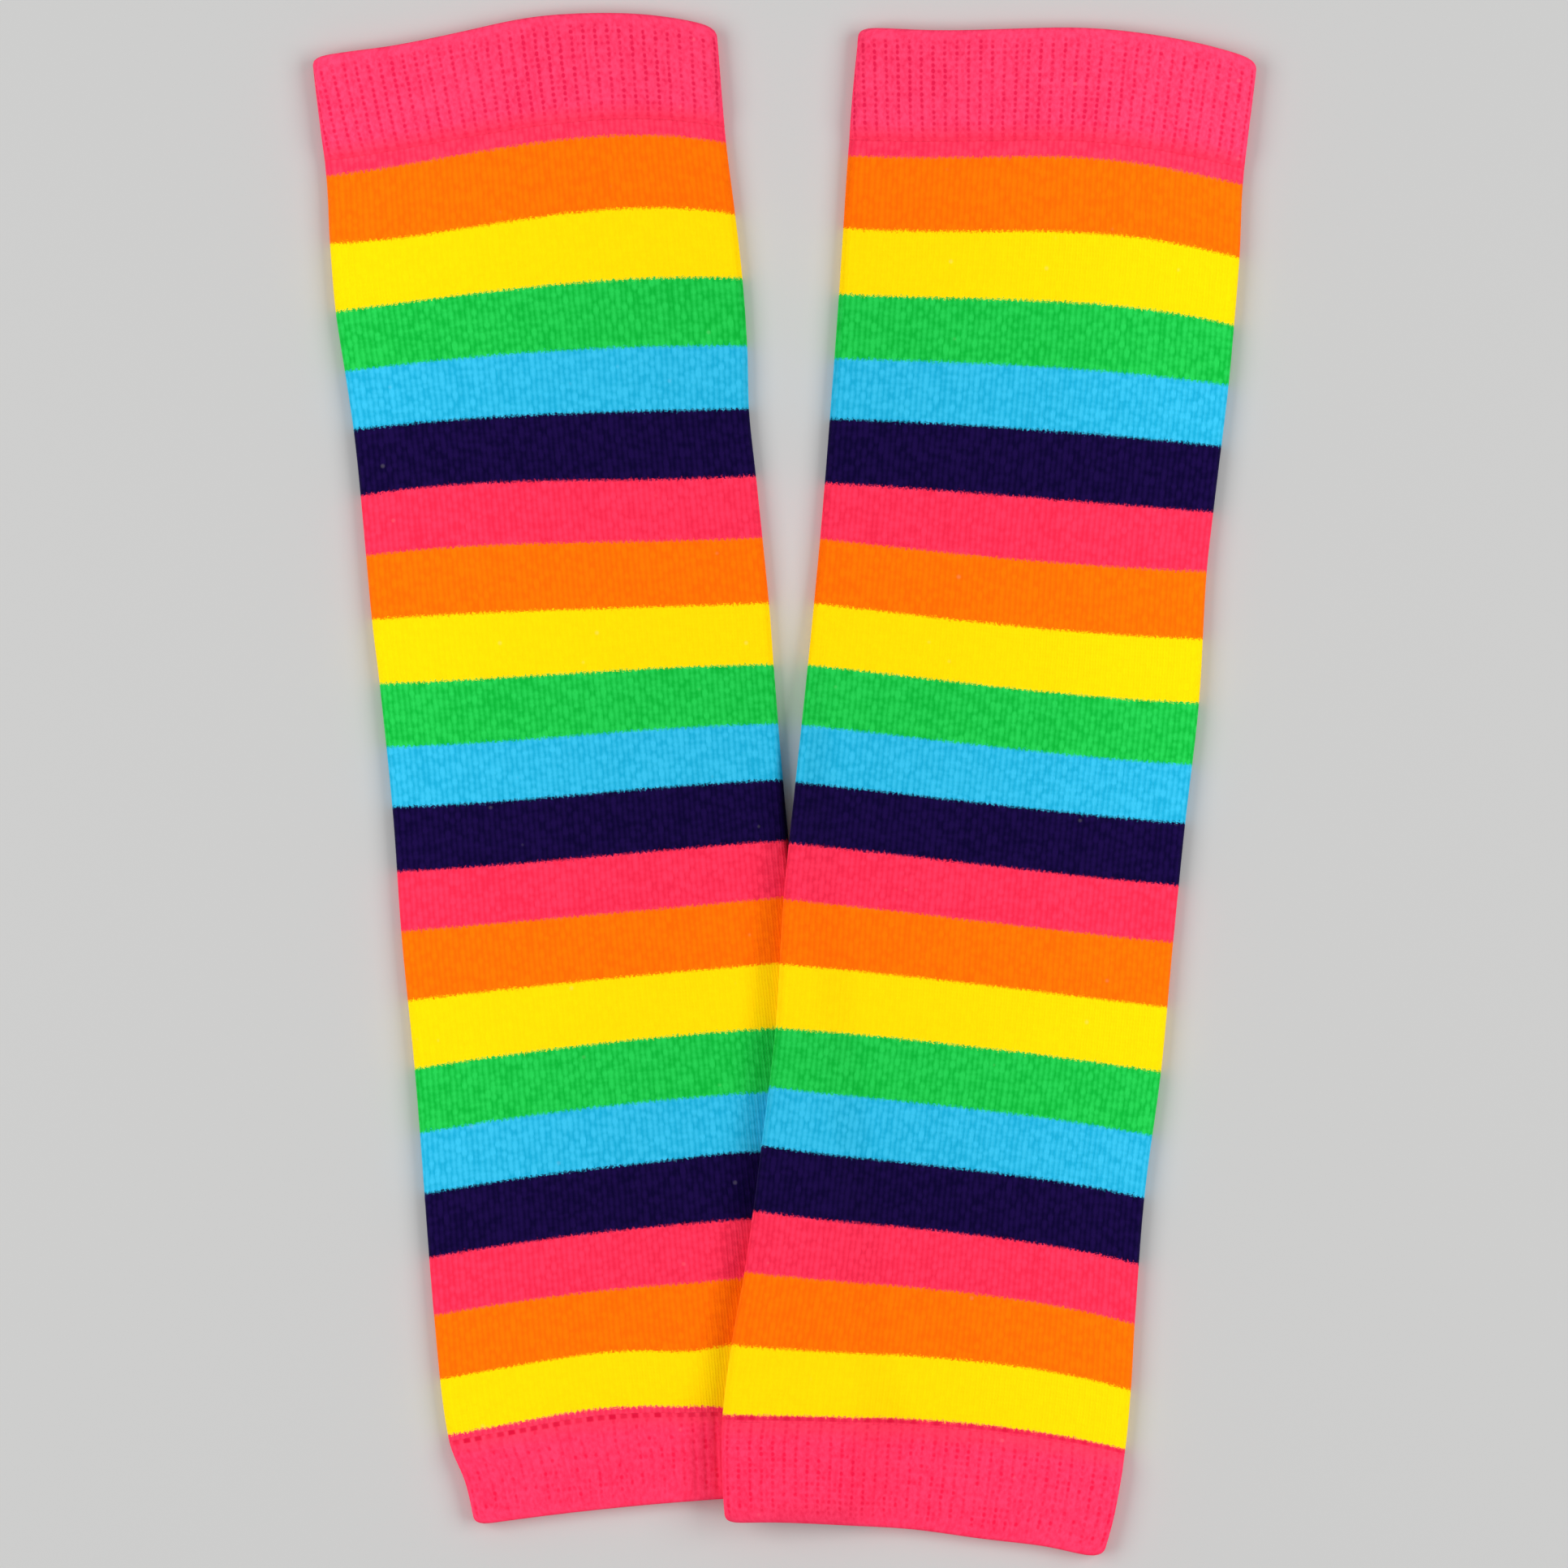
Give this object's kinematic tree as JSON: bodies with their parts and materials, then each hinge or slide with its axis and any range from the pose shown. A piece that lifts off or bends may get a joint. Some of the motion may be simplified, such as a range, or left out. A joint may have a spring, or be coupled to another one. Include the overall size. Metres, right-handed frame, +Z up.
{
  "type": "pair of striped leg warmers",
  "caption": "Pair of child's knitted tube leg warmers in rainbow stripes with ribbed cuffs, lying flat, one partly over the other.",
  "frame": {"origin": "centre of the pair's bounding box on the surface that it lies on", "axes": "+Z up off the surface, +Y along the legs towards the wide top cuffs, +X towards the leg warmer that lies on top"},
  "size_m": [0.1922, 0.3134, 0.01],
  "materials": {
    "pink_rib": "matt ribbed knit",
    "striped_jersey": "matt plain knit; the colour is the average of its orange, yellow, green, sky, indigo and pink stripes"
  },
  "bodies": {
    "root": {"left_top_cuff": "pink_rib", "left_tube": "striped_jersey", "left_bottom_cuff": "pink_rib", "right_top_cuff": "pink_rib", "right_tube": "striped_jersey", "right_bottom_cuff": "pink_rib"}
  },
  "joints": []
}
